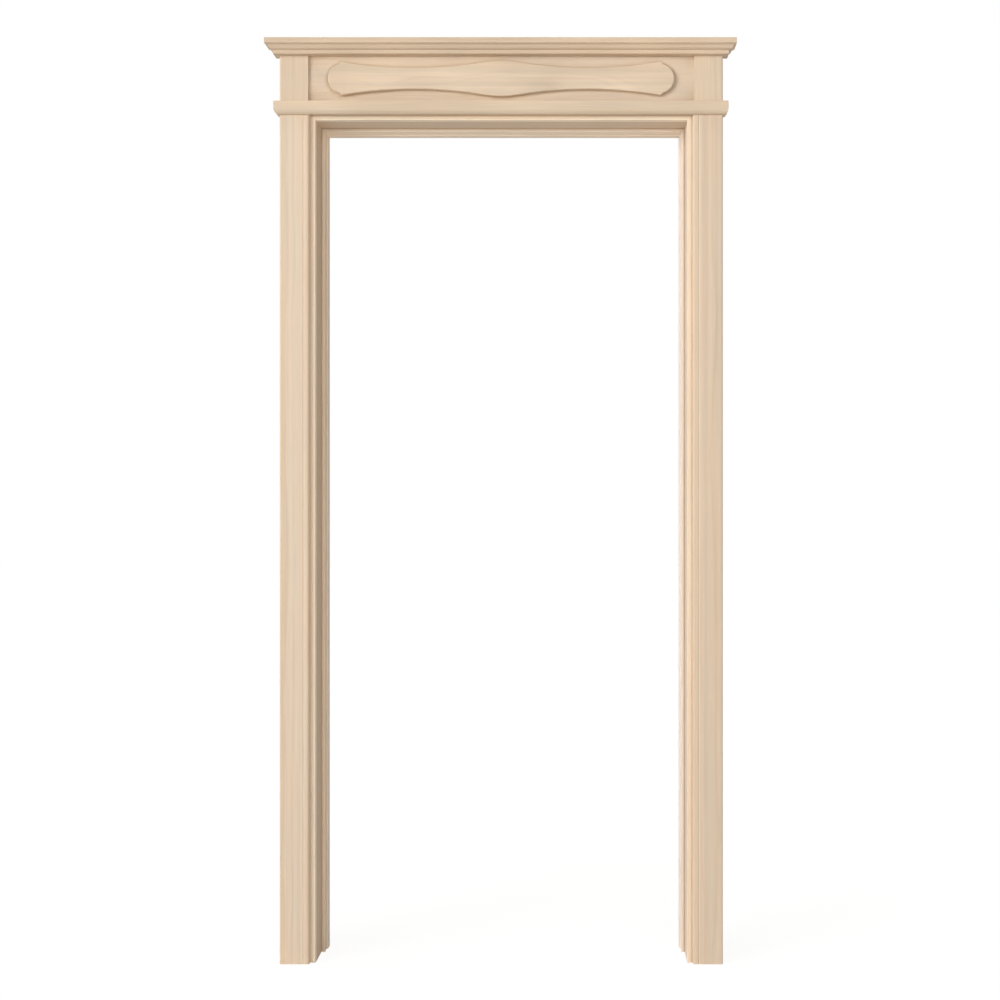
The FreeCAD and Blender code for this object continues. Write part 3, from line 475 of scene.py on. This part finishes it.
def zinc_plate():
    """Thin, pale, slightly yellow plating, with a fine, uneven sheen."""
    material = bpy.data.materials.new("zinc_plate")
    material.use_nodes = True
    tree = material.node_tree
    shader = tree.nodes["Principled BSDF"]
    shader.inputs["Metallic"].default_value = 1.0
    coordinates = tree.nodes.new("ShaderNodeTexCoord")
    cloud = streaks(tree, coordinates.outputs["Object"], 900.0, 900.0)
    colour = tree.nodes.new("ShaderNodeCombineColor")
    for channel, level in zip(("Red", "Green", "Blue"), (0.66, 0.64, 0.56)):
        join(tree, between(tree, cloud, 0.3, 0.7, level * 0.92, level), colour.inputs[channel])
    join(tree, colour.outputs["Color"], shader.inputs["Base Color"])
    join(tree, between(tree, cloud, 0.3, 0.7, 0.28, 0.42), shader.inputs["Roughness"])
    return material


shape = bmesh.new()
for sign in (-1, 1):
    for row in SCREW_ROWS:
        add_screw(shape, Vector((sign * JAMB_OUTSIDE, row, SCREW_LEVEL)), -sign)
placed("countersunk_screws", shape, zinc_plate(), "corner_screws")

# Dowels: fluted, chamfered pins of a close-grained hardwood, glued into the joints between the
# frieze blocks and the two rails.
DOWEL_PLACES = (0.4935, 0.5295)
DOWEL_DEPTH = -0.0675
DOWEL_LEVELS = (2.128, 2.242)
DOWEL_RADIUS = 0.005
DOWEL_HALF_LENGTH = 0.020
DOWEL_CHAMFER = 0.001
FLUTES = 16
FLUTE_DEPTH = 0.0004
POINTS_A_FLUTE = 3
DOWEL_TONE = (0.60, 0.43, 0.28)
shape = bmesh.new()
for sign in (-1, 1):
    for across in DOWEL_PLACES:
        for level in DOWEL_LEVELS:
            rows = []
            for end, inset in ((-1, DOWEL_CHAMFER), (-1, 0), (1, 0), (1, DOWEL_CHAMFER)):
                height = level + end * (DOWEL_HALF_LENGTH - (DOWEL_CHAMFER - inset))
                row = []
                for step in range(POINTS_A_FLUTE * FLUTES):
                    radius = DOWEL_RADIUS - inset - (FLUTE_DEPTH if step % POINTS_A_FLUTE == 0 else 0)
                    turn = 2 * pi * step / (POINTS_A_FLUTE * FLUTES)
                    row.append(shape.verts.new((
                        sign * across + radius * cos(turn), DOWEL_DEPTH + radius * sin(turn), height)))
                rows.append(row)
            for first, second in zip(rows, rows[1:]):
                skin(shape, first, second)
            shape.faces.new(rows[0])
            shape.faces.new(rows[-1])
wood = softwood("dowel_hardwood", "Z", (0.3, -0.2, 2.0), DOWEL_TONE, ring=0.0016, marks=0.6)
placed("fluted_dowels", shape, wood, "header_dowels")

# Floor: a plain pale surface that the frame stands on, seen as white with the frame's shadow.
FLOOR_SIZE = 30.0
FLOOR_WHITE_SHARE = 0.80
FLOOR_WHITE = 1.12
FLOOR_TONE = (0.85, 0.84, 0.82, 1)
bpy.ops.mesh.primitive_plane_add(size=FLOOR_SIZE, location=(0, 0, 0))
floor = bpy.context.object
floor.name = "floor"
floor_paint = bpy.data.materials.new("floor_paint")
floor_paint.use_nodes = True
floor_tree = floor_paint.node_tree
floor_shader = floor_tree.nodes["Principled BSDF"]
floor_shader.inputs["Base Color"].default_value = FLOOR_TONE
floor_shader.inputs["Roughness"].default_value = 0.9
seen = floor_tree.nodes.new("ShaderNodeLightPath")
white = floor_tree.nodes.new("ShaderNodeEmission")
white.inputs["Strength"].default_value = FLOOR_WHITE
blend = floor_tree.nodes.new("ShaderNodeMixShader")
seen_directly = number_node(floor_tree, "MAXIMUM", seen.outputs["Is Camera Ray"],
                            number_node(floor_tree, "MAXIMUM", seen.outputs["Is Glossy Ray"],
                                        seen.outputs["Is Transmission Ray"]))
join(floor_tree, number_node(floor_tree, "MULTIPLY", seen_directly, FLOOR_WHITE_SHARE), blend.inputs[0])
join(floor_tree, floor_shader.outputs[0], blend.inputs[1])
join(floor_tree, white.outputs[0], blend.inputs[2])
join(floor_tree, blend.outputs[0], floor_tree.nodes["Material Output"].inputs["Surface"])
floor.data.materials.append(floor_paint)

# Light: a white studio with a broad, soft key from the left in front, a weaker fill from a little
# right of the front, and an overhead lamp whose light comes back from the pale floor.
AMBIENT = 0.15
WHITE = (1, 1, 1, 1)
world = bpy.data.worlds.new("studio")
scene.world = world
world.use_nodes = True
sky = world.node_tree
studio = sky.nodes["Background"]
studio.inputs["Color"].default_value = WHITE
studio.inputs["Strength"].default_value = AMBIENT
backdrop = sky.nodes.new("ShaderNodeBackground")
backdrop.inputs["Color"].default_value = WHITE
backdrop.inputs["Strength"].default_value = 1.0
sky_seen = sky.nodes.new("ShaderNodeLightPath")
sky_blend = sky.nodes.new("ShaderNodeMixShader")
sky_directly = number_node(sky, "MAXIMUM", sky_seen.outputs["Is Camera Ray"],
                           number_node(sky, "MAXIMUM", sky_seen.outputs["Is Glossy Ray"],
                                       sky_seen.outputs["Is Transmission Ray"]))
join(sky, sky_directly, sky_blend.inputs[0])
join(sky, studio.outputs[0], sky_blend.inputs[1])
join(sky, backdrop.outputs[0], sky_blend.inputs[2])
join(sky, sky_blend.outputs[0], sky.nodes["World Output"].inputs["Surface"])

# Each lamp's direction to the left of straight in front, its height, its strength and its spread.
LAMPS = {"key": (55, 8, 2.15, 34), "fill": (-12, 4, 0.9, 40), "overhead": (20, 84, 1.2, 40)}
for lamp_name, (leftward, height, strength, spread) in LAMPS.items():
    lamp = bpy.data.objects.new(lamp_name, bpy.data.lights.new(lamp_name, "SUN"))
    lamp.data.energy = strength
    lamp.data.angle = radians(spread)
    level = cos(radians(height))
    to_lamp = Vector((-sin(radians(leftward)) * level, -cos(radians(leftward)) * level,
                      sin(radians(height))))
    lamp.rotation_mode = "QUATERNION"
    lamp.rotation_quaternion = to_lamp.to_track_quat("Z", "Y")
    scene.collection.objects.link(lamp)

# Camera: level, at the middle of the frame's height and a little to the right, so that verticals
# stay upright. The shift brings the frame to its place in the picture.
CAMERA_PLACE = (0.190, -3.2795, 1.190)
SENSOR_WIDTH = 36
LENS = 46.7
SHIFT_ACROSS = -0.0782
SHIFT_UP = -0.018
camera = bpy.data.objects.new("camera", bpy.data.cameras.new("camera"))
camera.location = CAMERA_PLACE
camera.rotation_euler = (pi / 2, 0, 0)
camera.data.sensor_width = SENSOR_WIDTH
camera.data.lens = LENS
camera.data.shift_x = SHIFT_ACROSS
camera.data.shift_y = SHIFT_UP
scene.collection.objects.link(camera)
scene.camera = camera
